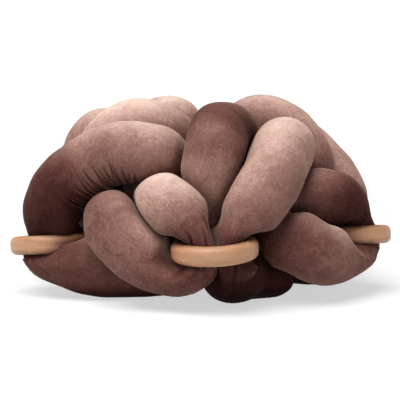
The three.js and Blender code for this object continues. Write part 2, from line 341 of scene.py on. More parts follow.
# How unlike each other the pleats are, and the raised rim beside each
PLEAT_STRAY = 0.3
PLEAT_SHORTEST = 0.62
PLEAT_SHALLOWEST = 0.6
PLEAT_SLANT = 0.18
PLEAT_NEAR = 30
PLEAT_RIM = 0.35
PLEAT_RIM_WIDTH = 2.4

# Where the filling swells over a ring or a neighbour: ring, first and last place of the
# stretch, the middle of the spot, its reach, and how far it moves
PUSHED = [
    (4, "foot_mid", "ring_up", (-232, -152, 78), 64, (-2, -15, 21)),
    (4, "ring_up", "arc_high", (-237, -150, 118), 54, (0, -11, -15)),
    (1, "ring_down", "hook_up", (264, -125, 90), 74, (8, -14, 4)),
    (1, "hook_side", "hook_turn", (135, -215, 100), 62, (-18, -6, 0)),
    (0, "ring_up", "arc_high", (145, -235, 142), 56, (-20, 0, -3)),
    (0, "foot_in", "foot_low", (135, -125, 30), 78, (34, -10, -8)),
]

# How strongly the cloth is gathered where a stretch runs out of its ring
GATHERED = {"bulge": 1.0, "hook": 0.8, "foot": 0.7, "arc": 0.6}
GATHERED_HERE = {(0, "bulge"): 1.7, (0, "arc"): 0.2, (4, "arc"): 0.3}
FOLDS = 13
FOLD_DEPTH = 3.4
FOLD_WIDTH = 2.8
FOLD_STRAY = 0.35
FOLD_SHALLOWEST = 0.35
FOLD_START = 12
FOLD_LONG = 48
FOLD_SHORTER = 1.5
FOLD_CURL = 0.004
FOLD_BEFORE = 6
FOLD_AFTER = 16
FOLD_RIM = 0.3
FOLD_RIM_WIDTH = 2.2
# How deep a groove is for the full painted shade, and how far a raised rim counts below nothing, as
# painted light
GROOVE_FULL = 3
RIM_LIGHT = -0.6

# Soft studio light: name, azimuth, elevation, spread, strength
LIGHTS = [
    ("key", -35, 66, 50, 4.3),
]

# The room: its dim light, and the floor and wall, in metres
WORLD = 0.15
STUDIO_RADIUS = 9
STUDIO_SIDES = 96
STUDIO_HEIGHT = 3
FLOOR_GREY = 0.32
FLOOR_GLOW = 0.58
FLOOR_ROUGH = 0.95
WALL_GLOW = 1.0

# Velvet: colour of the pile by how light it lies, its painted shade and light included
PILE = [
    (-0.25, (0.012, 0.003, 0.003)),
    (0.0, (0.028, 0.008, 0.007)),
    (0.25, (0.060, 0.020, 0.016)),
    (0.5, (0.125, 0.053, 0.044)),
    (0.75, (0.250, 0.136, 0.110)),
    (1.0, (0.490, 0.326, 0.270)),
    (1.25, (0.740, 0.564, 0.479)),
]

# Velvet: painted shade, darker where it touches a neighbour, in a groove and near the floor
TOUCH_SHADE = 0.05
TOUCH_REACH = 6
GROOVE_SHADE = 0.45
LOW_REACH = 35
FLOOR_SHADE = 0.8

# How far the weight flattens the feet on the floor
SUNK = 1.6

# Velvet: sheen, and how rough and glossy it is
SHEEN = 0.38
SHEEN_ROUGH = 0.4
SHEEN_TINT = (1.0, 0.72, 0.60)
VELVET_ROUGH = 0.85
VELVET_GLOSS = 0.03

# Radius in metres at which the way round the tube is measured for the streaks
STREAK_RADIUS = 0.055

# Patterns of the velvet: scale, detail, roughness, distortion
BROAD = (9, 2, 0.5, 0.4)
PATCH = (34, 4, 0.62, 0.9)
STREAK = (1.0, 3, 0.65, 0.4)
STREAK_STRETCH = (60, 260, 1)
TUFT = (260, 4, 0.8)
DENT = (55, 3, 0.55)
FIBRE = (700, 2, 0.6)

# How much each pattern lightens or darkens the pile, and how high dents and fibres stand
BROAD_TONE = 0.16
PATCH_TONE = 0.34
STREAK_TONE = 0.16
TUFT_TONE = 0.5
DENT_HIGH = 0.6
FIBRE_HIGH = 0.3
VELVET_BUMP = (0.6, 0.002)

# Wood: painted shade, how much darker it is near the cloth that shades it, and how near
CLOTH_SHADE = 0.45
CLOTH_SHADE_REACH = 0.022

# Wood: colour by how light the grain is
WOOD = [
    (0.0, (0.10, 0.040, 0.022)),
    (0.3, (0.29, 0.135, 0.068)),
    (0.5, (0.40, 0.205, 0.110)),
    (0.7, (0.50, 0.280, 0.165)),
]

# Wood: stretch of each pattern along the rings, its detail, roughness and distortion, and share
WIDE_STRETCH = (7, 7, 60)
WIDE = (1.0, 3, 0.5, 0.6)
WIDE_SHARE = 0.55
FINE_STRETCH = (60, 60, 900)
FINE = (1.0, 3, 0.6)
FINE_SHARE = 0.3
FLECK_STRETCH = (180, 180, 1400)
FLECK = (1.0, 1, 0.5)
FLECK_SHARE = 0.15
WOOD_ROUGH = 0.36
WOOD_ROUGH_GRAIN = 0.2
WOOD_GLOSS = 0.4
WOOD_BUMP = (0.25, 0.0004)

# Mesh of a ring: steps round it and steps round each corner of its section
RING_STEPS = 128
CORNER_STEPS = 8

# Every which point of the tube is looked at for the painted shade on the wood
CLOTH_EVERY = 2


def at(angle, distance, height):
    a = math.radians(angle)
    return np.array([distance * math.sin(a), -distance * math.cos(a), height])


def ring_angle(turns):
    """An angle counted in turns from ring to ring, stretched to the real gaps."""
    k = math.floor(turns)
    start = RINGS[k % 5][1] + 360 * (k // 5)
    stop = RINGS[(k + 1) % 5][1] + 360 * ((k + 1) // 5)
    return start + (stop - start) * (turns - k)


def centripetal(p, per):
    """Closed centripetal Catmull-Rom curve through p, with per points to a span."""
    n = len(p)
    out = []
    for i in range(n):
        q = [p[(i + j - 1) % n] for j in range(4)]
        t = [0.0]
        for j in range(3):
            t.append(t[-1] + math.sqrt(np.linalg.norm(q[j + 1] - q[j])))
        for s in np.linspace(t[1], t[2], per, endpoint=False):
            a1 = ((t[1] - s) * q[0] + (s - t[0]) * q[1]) / (t[1] - t[0])
            a2 = ((t[2] - s) * q[1] + (s - t[1]) * q[2]) / (t[2] - t[1])
            a3 = ((t[3] - s) * q[2] + (s - t[2]) * q[3]) / (t[3] - t[2])
            b1 = ((t[2] - s) * a1 + (s - t[0]) * a2) / (t[2] - t[0])
            b2 = ((t[3] - s) * a2 + (s - t[1]) * a3) / (t[3] - t[1])
            out.append(((t[2] - s) * b1 + (s - t[1]) * b2) / (t[2] - t[1]))
    return np.array(out)


def pile_and_shade_at(ring, place, pile_and_shade):
    """Lightness of the pile at a place, with painted light and shade by the way each side
    faces: on the side that faces front or back, up, down, left and right."""
    for k, name, place_lightness in NAP_AND_SHADE:
        if (k, name) == (ring, place):
            pile_and_shade = place_lightness
    return [pile_and_shade, *(pile_and_shade + more for more in PAINTED_SIDE_LIGHT)]


def laid_line():
    """The centre line as laid down, x, y, z, radius, hold and the pile's lightness with its painted
    light and shade, and where its places are.
    """
    points, values, names = [], [], []
    for turn in range(5):
        for place, own, angle, distance, height, radius, hold, pile_and_shade in TURN:
            ring = 2 * turn + own
            a, r, z = angle, distance, height
            for k, name, *uneven in UNEVEN:
                if k == ring % 5 and name == place:
                    a, r, z = uneven
            for k, name, thick in STUFFED:
                if k == ring % 5 and name == place:
                    radius = thick
            points.append(at(ring_angle(ring + a / RING_STEP), r, z))
            values.append([radius, hold, *pile_and_shade_at(ring % 5, place, pile_and_shade)])
            names.append((ring % 5, place))
            k, name, a, r, z = ARCH_END
            if (ring % 5, place) == (k, name):
                points.append(at(ring_angle(ring + a / RING_STEP), r, z))
                values.append([radius, hold, *pile_and_shade_at(k, "arc_over", pile_and_shade)])
                names.append((k, "arc_over"))
    per = LINE_POINTS
    line = centripetal(np.array(points), per)
    f = (np.arange(per) / per)[:, None]
    smooth = f * f * (3 - 2 * f)
    spread = []
    for i, here in enumerate(values):
        here = np.array(here)
        there = np.array(values[(i + 1) % len(values)])
        block = here + (there - here) * smooth
        block[:, 1] = (here[1] + (there[1] - here[1]) * f)[:, 0]
        spread.append(block)
    line = np.hstack([line, np.vstack(spread)])
    _, s = lengths_of(line)
    return line, {name: s[i * per] for i, name in enumerate(names)}


def lengths_of(line):
    closed = np.vstack([line, line[:1]])
    steps = np.linalg.norm(np.diff(closed[:, :3], axis=0), axis=1)
    return closed, np.concatenate([[0], np.cumsum(steps)])


def evenly(line, step):
    closed, s = lengths_of(line)
    count = int(round(s[-1] / step))
    want = np.arange(count) * s[-1] / count
    out = np.stack([np.interp(want, s, closed[:, k]) for k in range(line.shape[1])], axis=1)
    return out, s[-1] / count


def settle(stations, step):
    """Overlapping stretches push each other apart, and the line stays smooth, in the dome
    and on the floor."""
    home = stations[:, :3]
    radius, hold = stations[:, 3], stations[:, 4]
    keep = KEEP_LOOSE + (KEEP_FIRM - KEEP_LOOSE) * np.minimum(1, hold)
    keep = np.where((radius < NECK_RADIUS) | (hold > HELD_MOST), KEEP_RING, keep)[:, None]
    index = np.arange(len(home))
    apart = np.abs(index[:, None] - index[None, :])
    far = np.minimum(apart, len(home) - apart) * step > FREE_ARC
    room = PRESSED * (radius[:, None] + radius[None, :])

    def around(v):
        return (np.roll(v, 1, 0) + np.roll(v, -1, 0)) / 2 - v

    now = home.copy()
    for turn in range(SETTLE_STEPS + SMOOTH_STEPS):
        if turn < SETTLE_STEPS:
            gap = now[:, None, :] - now[None, :, :]
            distance = np.linalg.norm(gap, axis=2) + 1e-9
            over = np.where(far & (distance < room), room - distance, 0)
            push = (gap * (over / distance)[..., None]).sum(1)
            touching = np.maximum(1, (over > 0).sum(1))
            now = now + PUSH_SHARE * push / np.sqrt(touching)[:, None]
            bend = around(now)
            now = now - BEND_SHARE * around(bend) + STRAIGHTEN * bend
            now = now + keep * (home - now)
        else:
            now = now + SMOOTH_SHARE * around(now)
        top = TOP_HEIGHT - BACK_SAG * np.maximum(0, now[:, 1])
        now[:, 2] = np.clip(now[:, 2], radius - FLOOR_PRESS, top - radius)
        rise = np.clip((now[:, 2] - DOME_BASE) / DOME_HEIGHT, 0, 0.999)
        widest = np.where(
            now[:, 2] < DOME_BASE,
            DOME_RADIUS - (DOME_BASE - now[:, 2]) * DOME_FLARE,
            DOME_RADIUS * np.sqrt(1 - rise * rise),
        )
        out = np.hypot(now[:, 0], now[:, 1])
        squeeze = np.where(out > widest, 0.5 + 0.5 * widest / out, 1)[:, None]
        now[:, :2] *= squeeze
    return np.hstack([now, stations[:, 3:]])


def cubic(line, per):
    """Closed uniform Catmull-Rom through every column."""
    before, after, later = np.roll(line, 1, 0), np.roll(line, -1, 0), np.roll(line, -2, 0)
    t = (np.arange(per) / per)[None, :, None]
    p0, p1, p2, p3 = (v[:, None, :] for v in (before, line, after, later))
    out = 0.5 * (
        2 * p1
        + (p2 - p0) * t
        + (2 * p0 - 5 * p1 + 4 * p2 - p3) * t**2
        + (3 * p1 - p0 - 3 * p2 + p3) * t**3
    )
    return out.reshape(-1, line.shape[1])


def section_axes(points):
    """Axes across the tube, carried along without twist and closed evenly."""
    tangent = np.roll(points, -1, 0) - np.roll(points, 1, 0)
    tangent /= np.linalg.norm(tangent, axis=1)[:, None]

    def carry(v, a, b):
        w = np.cross(a, b)
        c = a @ b
        v = v * c + np.cross(w, v) + w * (w @ v) / (1 + c)
        v = v - b * (b @ v)
        return v / np.linalg.norm(v)

    n = len(points)
    u = np.zeros_like(points)
    start = np.array([0, 0, 1.0]) - tangent[0] * tangent[0][2]
    u[0] = start / np.linalg.norm(start)
    for i in range(1, n):
        u[i] = carry(u[i - 1], tangent[i - 1], tangent[i])
    back = carry(u[-1], tangent[-1], tangent[0])
    turn = math.atan2(tangent[0] @ np.cross(back, u[0]), back @ u[0])
    a = (turn * np.arange(n) / n)[:, None]
    v = np.cross(tangent, u)
    return tangent, u * np.cos(a) + v * np.sin(a), v * np.cos(a) - u * np.sin(a)


def ring_frame(ring):
    """Centre of a ring, its two directions in the plane, and its axis."""
    _, angle, distance, height, tilt, lean = ring
    a, t, b = (math.radians(v) for v in (angle, tilt, lean))
    away = np.array([math.sin(a), -math.cos(a), 0])
    outward = away * math.cos(t) - np.array([0, 0, math.sin(t)])
    upright = away * math.sin(t) + np.array([0, 0, math.cos(t)])
    along = np.array([math.cos(a), math.sin(a), 0])
    side = along * math.cos(b) + upright * math.sin(b)
    axis = upright * math.cos(b) - along * math.sin(b)
    return at(angle, distance, height), outward, side, axis


def ring_depth(points, ring):
    """Distance of points to one ring's surface, below zero inside the wood."""
    centre, outward, along, axis = ring_frame(ring)
    v = points - centre
    q = np.abs(np.hypot(v @ outward, v @ along) - (RING_OUTER_RADIUS - RING_WALL / 2))
    z = np.abs(v @ axis)
    dq = q - (RING_WALL / 2 - RING_CORNER)
    dz = z - (RING_HEIGHT / 2 - RING_CORNER)
    outside = np.hypot(np.maximum(dq, 0), np.maximum(dz, 0))
    return outside + np.minimum(np.maximum(dq, dz), 0) - RING_CORNER


def clear_of_ring(points, ring):
    """Points inside a ring's wood, or closer to it than the gap, move out to the gap."""
    near = np.linalg.norm(points - at(*ring[1:4]), axis=-1) < RING_REACH
    inside = points[near]
    for _ in range(3):
        depth = ring_depth(inside, ring)
        slope = np.stack(
            [ring_depth(inside + 0.1 * axis, ring) - depth for axis in np.eye(3)], axis=-1
        )
        slope /= np.linalg.norm(slope, axis=-1, keepdims=True) + 1e-9
        inside = inside + slope * np.maximum(0, RING_GAP - depth)[:, None]
    points[near] = inside
    return points


def soften(values, times):
    for _ in range(times):
        values = (np.roll(values, 1, 0) + values + np.roll(values, -1, 0)) / 3
    return values


def turned(angle):
    """The same angle between minus half a turn and half a turn."""
    return (angle + math.pi) % (2 * math.pi) - math.pi


def fade(x):
    x = np.clip(1 - x, 0, 1)
    return x * x * (3 - 2 * x)


def pleats(where, total, centre, u, v, angle, free, places):
    """Grooves across the tube on the side that faces the eye of a bend."""
    depth = np.zeros(angle.shape)
    for ring, first, last, eye, number, reach, deep, wide in PLEATS:
        towards = at(*eye) - centre
        inner = np.arctan2((towards * v).sum(1), (towards * u).sum(1))
        start, stop = places[ring, first], places[ring, last]
        span = (stop - start) % total
        for k in range(number):
            s = start + span * (k + 0.5 + rng.uniform(-PLEAT_STRAY, PLEAT_STRAY)) / number
            own_reach = reach * rng.uniform(PLEAT_SHORTEST, 1)
            own_depth = deep * rng.uniform(PLEAT_SHALLOWEST, 1)
            slant = rng.uniform(-PLEAT_SLANT, PLEAT_SLANT)
            away = (where - s + total / 2) % total - total / 2
            near = np.where(np.abs(away) < PLEAT_NEAR)[0]
            round_at = turned(angle[near] - inner[near, None]) * free[near, None]
            across = away[near, None] - slant * np.abs(round_at)
            end = np.sin(math.pi * np.clip((s - start) / span, 0.08, 0.92))
            rim = np.exp(-((across / wide / PLEAT_RIM_WIDTH) ** 2))
            groove = np.exp(-((across / wide) ** 2)) - PLEAT_RIM * rim
            run = np.abs(round_at) / (own_reach * end ** 0.5)
            depth[near] += own_depth * groove * fade(run * 1.5 - 0.5)
    return depth


def gathers(where, total, angle, outward, free, places):
    """Folds along the tube that run out of the rings."""
    depth = np.zeros(angle.shape)
    passages = (("ring_down", "bulge", "hook"), ("ring_up", "foot", "arc"))
    for ring in range(5):
        for passage, before, after in passages:
            away = (where - places[ring, passage] + total / 2) % total - total / 2
            for way, part in ((-1, before), (1, after)):
                strength = GATHERED_HERE.get((ring, part), GATHERED[part])
                for k in range(FOLDS):
                    stray = rng.uniform(-FOLD_STRAY, FOLD_STRAY)
                    at_angle = 2 * math.pi * (k + stray) / FOLDS
                    reach = FOLD_START + FOLD_LONG * rng.uniform(0, 1) ** FOLD_SHORTER
                    deep = FOLD_DEPTH * strength * rng.uniform(FOLD_SHALLOWEST, 1)
                    curl = rng.uniform(-FOLD_CURL, FOLD_CURL)
                    past = away * way
                    near = np.where((past > -FOLD_BEFORE) & (past < reach + FOLD_AFTER))[0]
                    run = np.maximum(0, past[near] - FOLD_START)[:, None]
                    side = turned(angle[near] - outward[near, None] - at_angle - curl * run)
                    across = side * free[near, None] / FOLD_WIDTH
                    rim = np.exp(-((across / FOLD_RIM_WIDTH) ** 2))
                    groove = np.exp(-(across**2)) - FOLD_RIM * rim
                    depth[near] += deep * groove * fade(run / reach)
    return depth


def filled(points, radius):
    """Radius of the free tube, and how much it fills every corner. It is larger in the rings
    and round the middle of the knot."""
    full = np.zeros(len(points))
    tight = np.zeros(len(points))
    for ring in RINGS:
        middle, outward, along, axis = ring_frame(ring)
        rel = points - middle
        high = np.abs(rel @ axis)
        within = np.hypot(rel @ outward, rel @ along) < RING_OUTER_RADIUS
        full = np.maximum(full, within * np.clip((FULL_TO - high) / (FULL_TO - FULL_FROM), 0, 1))
        tight = np.maximum(tight, within * np.clip((FULL_FROM - high) / TIGHT_FADE, 0, 1))
    radius = radius + (FULL_AT_RING - radius) * full
    heart = np.hypot(points[:, 0], points[:, 1])
    inside = (heart < HEART_REACH) & (points[:, 2] < HEART_TOP)
    return np.where(inside, np.maximum(radius, heart + HEART_OVER), radius), np.maximum(tight, inside)


def build_tube():
    laid, laid_at = laid_line()
    even, step = evenly(laid, SETTLE_STEP)
    line = settle(even, step)
    per = DENSE_POINTS
    dense = cubic(line, per)
    dense[:, 3] = np.clip(dense[:, 3], THINNEST, THICKEST)
    closed, s = lengths_of(dense)
    total = s[-1]
    places = {}
    for name, spot in laid_at.items():
        places[name] = np.interp(spot / step * per, np.arange(len(s)), s)

    # Stations lie closer together where the tube shows, and closest where it is pleated.
    seen = np.clip(closed[:, 4], 0, 1)
    for _ in range(SEEN_SPREAD):
        seen[1:-1] = (seen[:-2] + seen[1:-1] + seen[2:]) / 3
    spacing = STEP_HIDDEN + (STEP_SEEN - STEP_HIDDEN) * np.clip(seen * SEEN_GAIN, 0, 1)
    for ring, first, last, *_ in PLEATS:
        start, stop = places[ring, first], places[ring, last]
        half = (stop - start) % total / 2
        middle = (start + half) % total
        away = np.abs((s - middle + total / 2) % total - total / 2)
        share = fade((away - half) / PLEATED_FADE)
        spacing = spacing + (STEP_PLEATED - spacing) * share
    density = 1 / spacing
    mass = np.concatenate([[0], np.cumsum((density[1:] + density[:-1]) / 2 * np.diff(s))])
    count = int(round(mass[-1]))
    where = np.interp(np.arange(count) * mass[-1] / count, mass, s)
    at_station = np.stack([np.interp(where, s, column) for column in closed.T], axis=1)
    centre = at_station[:, :3]
    tangent, u, v = section_axes(centre)

    free, fills = filled(centre, at_station[:, 3])

    # The rays lie closer together on the side that faces out of the knot.
    out = centre - np.array(HEART)
    far = np.linalg.norm(out, axis=1)
    facing = ((out * u).sum(1) + 1j * (out * v).sum(1)) / far
    facing = soften(facing, FACING_SPREAD)
    outward = np.unwrap(np.angle(facing))
    crowding = CROWDED_OUTSIDE * np.clip(np.abs(facing) / FACING_FULL, 0, 1)
    theta = 2 * math.pi * (np.arange(AROUND) + 0.5) / AROUND - math.pi
    angle = outward[:, None] + theta - crowding[:, None] * np.sin(theta)
    direction = (
        u[:, None, :] * np.cos(angle)[..., None] + v[:, None, :] * np.sin(angle)[..., None]
    )
    laps = round((outward[-1] - outward[0]) / (2 * math.pi))

    # Neighbouring stretches, and how far each ray runs before it meets one
    other, gap = evenly(dense, NEIGHBOUR_STEP)
    other_at = np.arange(len(other)) * gap
    other_free, _ = filled(other[:, :3], other[:, 3])
    limit = np.full((count, AROUND), OPEN)
    for i in range(count):
        w = centre[i] - other[:, :3]
        size = np.linalg.norm(w, axis=1)
        arc = np.abs(other_at - where[i])
        arc = np.minimum(arc, total - arc)
        pick = (size < NEIGHBOUR_REACH) & (arc > OWN_STRETCH)
        w, size, arc, thick = w[pick], size[pick], arc[pick], other_free[pick]
        wide = np.where(arc > FREE_ARC, thick - free[i], 0.0)
        below = wide[None, :] - direction[i] @ w.T
        t = (size**2 - wide**2)[None, :] / (2 * np.maximum(below, 1e-6))
        t = np.where(below > 1e-6, t, OPEN)
        if t.shape[1]:
            limit[i] = np.minimum(limit[i], t.min(axis=1) - CLOTH_GAP)

    # The floor
    down = np.minimum(direction[:, :, 2], -1e-6)
    limit = np.minimum(limit, -centre[:, 2:3] / down)

    # The rings: a stretch that runs through one stays inside its hole and swells out past it
    reach = np.arange(*RAY_LENGTHS)
    for k, ring in enumerate(RINGS):
        middle, outward_way, along, axis = ring_frame(ring)
        for passage in ("ring_up", "ring_down"):
            away = np.abs((where - places[k, passage] + total / 2) % total - total / 2)
            close = np.where(away < RING_STRETCH)[0]
            rays = centre[close][:, None, None, :] + direction[close][:, :, None, :] * reach[:, None]
            w = rays - middle
            high = np.abs(w @ axis)
            wide = np.hypot(w @ outward_way, w @ along)
            swell = HOLE + FUNNEL * np.maximum(0, high - RING_HEIGHT / 2 + FUNNEL_START)
            swell += FUNNEL_LOOSE * np.maximum(0, away[close] - FUNNEL_LONG)[:, None, None]
            outside = wide > swell
            stop = reach[outside.argmax(axis=2)] - HOLE_GAP
            first = np.where(outside.any(axis=2), stop, OPEN)
            limit[close] = np.minimum(limit[close], first)
    limit = np.maximum(limit, LEAST_LIMIT)

    # Lumps of the filling, pleats and gathers
    lump = np.zeros((count, AROUND))
    for waves, across, size in LUMPS:
        phase = rng.uniform(0, 2 * math.pi)
        along = 2 * math.pi * waves * 5 * where[:, None] / total
        lump += size * np.sin(along + across * angle + phase)
    grooves = pleats(where, total, centre, u, v, angle, free, places)
    grooves += gathers(where, total, angle, outward, free, places)

    def softer(a, b, k):
        h = np.clip(k - np.abs(a - b), 0, None) / k
        return np.minimum(a, b) - h * h * k / 4

    plump = free[:, None] + lump
    limit = np.minimum(limit, plump + SOFT_EDGE)
    lowest = limit
    tight = np.minimum(plump, limit + 1)
    for across in (-1, 0, 1):
        for along in (-1, 0, 1):
            lowest = np.minimum(lowest, np.roll(limit, (along, across), (0, 1)))
    limit = soften(soften(lowest, 1).T, 1).T
    radius = soften(soften(softer(plump, limit, SOFT_EDGE), 1).T, 1).T
    radius += soften(fills, 1)[:, None] * (tight - radius)
    radius = np.maximum(radius - grooves, LEAST_RADIUS)
    points = centre[:, None, :] + direction * radius[..., None]
    for ring, first, last, middle, reach, move in PUSHED:
        start = places[ring, first]
        on = (where - start) % total < (places[ring, last] - start) % total
        away = np.linalg.norm(points - np.array(middle), axis=2) / reach
        points += (on[:, None] * fade(away))[..., None] * np.array(move)
    for ring in RINGS:
        points = clear_of_ring(points, ring)
    points[..., 0] -= MIDDLE[0]
    points[..., 1] -= MIDDLE[1]
    above = np.clip(1 - points[..., 2] / LOW_REACH, 0, 1)
    points[..., 2] = np.maximum(points[..., 2] - SUNK * above, 0)

    # How light the pile lies, with light and shade painted by the way each side faces
    sides = [-direction[..., 1], direction[..., 2], -direction[..., 2]]
    sides += [-direction[..., 0], direction[..., 0]]
    share = np.stack([np.maximum(0, side) ** 2 for side in sides], axis=-1)
    share[..., 0] += np.maximum(0, direction[..., 1]) ** 2
    pile_and_shade = (share * at_station[:, None, 5:10]).sum(axis=2)
    # Painted shade: darker towards the floor
    low = np.clip(1 - points[..., 2] / LOW_REACH, 0, 1)
    pile_and_shade = pile_and_shade - FLOOR_SHADE * low * low
    # How near the surface lies to a neighbour, for the painted shade in the creases
    touch = np.clip(1 - (limit - radius) / TOUCH_REACH, 0, 1)
    return {
        "points": points,
        "where": where,
        "total": total,
        "angle": angle,
        "laps": laps,
        "pile_and_shade": pile_and_shade,
        "groove": np.clip(grooves / GROOVE_FULL, RIM_LIGHT, 1),
        "touch": touch,
    }


def tube_object(tube):
    points = tube["points"] / METRE
    count = points.shape[0]
    flat = points.reshape(-1, 3)
    i = np.arange(count)[:, None]
    j = np.arange(AROUND)[None, :]
    here = i * AROUND + j
    side = i * AROUND + (j + 1) % AROUND
    ahead = ((i + 1) % count) * AROUND + j
    both = ((i + 1) % count) * AROUND + (j + 1) % AROUND
    faces = np.stack([here, side, both, ahead], axis=-1).reshape(-1, 4)
    mesh = bpy.data.meshes.new("velvet_tube")
    mesh.vertices.add(len(flat))
    mesh.vertices.foreach_set("co", flat.ravel())
    mesh.loops.add(faces.size)
    mesh.loops.foreach_set("vertex_index", faces.ravel())
    mesh.polygons.add(len(faces))
    mesh.polygons.foreach_set("loop_start", np.arange(len(faces)) * 4)
    mesh.polygons.foreach_set("loop_total", np.full(len(faces), 4))
    mesh.update(calc_edges=True)
    mesh.validate()
    mesh.polygons.foreach_set("use_smooth", np.ones(len(mesh.polygons), dtype=bool))

    # Length along the tube and way round it, in metres, for the pile and the pleats
    along = np.append(tube["where"], tube["total"]) / METRE
    last = tube["angle"][:1] + 2 * math.pi * tube["laps"]
    rows = np.vstack([tube["angle"], last])
    wide = np.hstack([rows, rows[:, :1] + 2 * math.pi]) * STREAK_RADIUS
    uv = mesh.uv_layers.new(name="run")
    u0 = np.repeat(along[:-1], AROUND)
    u1 = np.repeat(along[1:], AROUND)
    corners = np.stack(
        [
            u0,
            wide[:-1, :-1].ravel(),
            u0,
            wide[:-1, 1:].ravel(),
            u1,
            wide[1:, 1:].ravel(),
            u1,
            wide[1:, :-1].ravel(),
        ],
        axis=1,
    )
    uv.data.foreach_set("uv", corners.ravel())
    for name in ("pile_and_shade", "groove", "touch"):
        layer = mesh.attributes.new(name, "FLOAT", "POINT")
        layer.data.foreach_set("value", tube[name].astype(np.float32).ravel())
    obj = bpy.data.objects.new("velvet_tube", mesh)
    bpy.context.collection.objects.link(obj)
    return obj


def nodes_of(name):
    material = bpy.data.materials.new(name)
    material.use_nodes = True
    tree = material.node_tree
    tree.nodes.clear()
    out = tree.nodes.new("ShaderNodeOutputMaterial")
    shader = tree.nodes.new("ShaderNodeBsdfPrincipled")
    tree.links.new(shader.outputs[0], out.inputs[0])
    return material, tree, shader


def add(tree, kind, **values):
    node = tree.nodes.new(kind)
    for key, value in values.items():
        setattr(node, key, value)
    return node


def math_node(tree, operation, a, b=None, clamp=False):
    node = add(tree, "ShaderNodeMath", operation=operation, use_clamp=clamp)
    for socket, value in zip(node.inputs, (a, b)):
        if value is None:
            continue
        if isinstance(value, (int, float)):
            socket.default_value = value
        else:
            tree.links.new(value, socket)
    return node.outputs[0]


def attribute(tree, name):
    return add(tree, "ShaderNodeAttribute", attribute_name=name).outputs["Fac"]


def noise(tree, vector, scale, detail=2.0, rough=0.5, distortion=0.0):
    node = add(tree, "ShaderNodeTexNoise")
    tree.links.new(vector, node.inputs["Vector"])
    node.inputs["Scale"].default_value = scale
    node.inputs["Detail"].default_value = detail
    node.inputs["Roughness"].default_value = rough
    node.inputs["Distortion"].default_value = distortion
    return node.outputs["Fac"]


def stretched(tree, vector, scale):
    node = add(tree, "ShaderNodeMapping")
    tree.links.new(vector, node.inputs["Vector"])
    node.inputs["Scale"].default_value = scale
    return node.outputs[0]


def ramp(tree, value, stops):
    node = add(tree, "ShaderNodeValToRGB")
    tree.links.new(value, node.inputs[0])
    elements = node.color_ramp.elements
    while len(elements) < len(stops):
        elements.new(0.5)
    for element, (place, colour) in zip(elements, stops):
        element.position = place
        element.color = (*colour, 1)
    return node.outputs[0]


def mixed(tree, start, *parts):
    """start plus each (value, weight), the value counted from its middle."""
    total = start
    for value, weight in parts:
        centred = math_node(tree, "SUBTRACT", value, 0.5)
        total = math_node(tree, "ADD", total, math_node(tree, "MULTIPLY", centred, weight))
    return total


def weighted(tree, *parts):
    """The sum of each (value, weight)."""
    products = [math_node(tree, "MULTIPLY", value, weight) for value, weight in parts]
    total = products[0]
    for product in products[1:]:
        total = math_node(tree, "ADD", total, product)
    return total


def less(tree, value, taken, share):
    """value without a share of what is taken."""
    return math_node(tree, "SUBTRACT", value, math_node(tree, "MULTIPLY", taken, share))


def bumped(tree, shader, height, strength, distance):
    bump = add(tree, "ShaderNodeBump")
    bump.inputs["Strength"].default_value = strength
    bump.inputs["Distance"].default_value = distance
    tree.links.new(height, bump.inputs["Height"])
    tree.links.new(bump.outputs[0], shader.inputs["Normal"])


def velvet():
    material, tree, shader = nodes_of("velvet")
    uv = add(tree, "ShaderNodeUVMap", uv_map="run").outputs[0]
    place = add(tree, "ShaderNodeTexCoord").outputs["Object"]

    # Patches where hands have brushed the pile, streaks along the tube, and single tufts
    broad = noise(tree, place, *BROAD)
    patch = noise(tree, place, *PATCH)
    streak = noise(tree, stretched(tree, uv, STREAK_STRETCH), *STREAK)
    tuft = noise(tree, place, *TUFT)
    # Painted shade where the cloth touches a neighbour and in the grooves, and painted light on the
    # raised rims beside them
    tone = less(tree, attribute(tree, "pile_and_shade"), attribute(tree, "touch"), TOUCH_SHADE)
    tone = less(tree, tone, attribute(tree, "groove"), GROOVE_SHADE)
    tone = mixed(
        tree,
        tone,
        (broad, BROAD_TONE),
        (patch, PATCH_TONE),
        (streak, STREAK_TONE),
        (tuft, TUFT_TONE),
    )
    darkest, lightest = PILE[0][0], PILE[-1][0]
    span = lightest - darkest
    shade = math_node(tree, "DIVIDE", math_node(tree, "SUBTRACT", tone, darkest), span)
    colour = ramp(tree, shade, [((at_tone - darkest) / span, c) for at_tone, c in PILE])
    tree.links.new(colour, shader.inputs["Base Color"])
    shader.inputs["Roughness"].default_value = VELVET_ROUGH
    shader.inputs["Specular IOR Level"].default_value = VELVET_GLOSS
    sheen = math_node(tree, "MULTIPLY", tone, SHEEN, clamp=True)
    tree.links.new(sheen, shader.inputs["Sheen Weight"])
    shader.inputs["Sheen Roughness"].default_value = SHEEN_ROUGH
    shader.inputs["Sheen Tint"].default_value = (*SHEEN_TINT, 1)

    # Dents of the filling and the pile
    dent = noise(tree, place, *DENT)
    fibre = noise(tree, place, *FIBRE)
    height = weighted(tree, (dent, DENT_HIGH), (fibre, FIBRE_HIGH))
    bumped(tree, shader, height, *VELVET_BUMP)
    return material


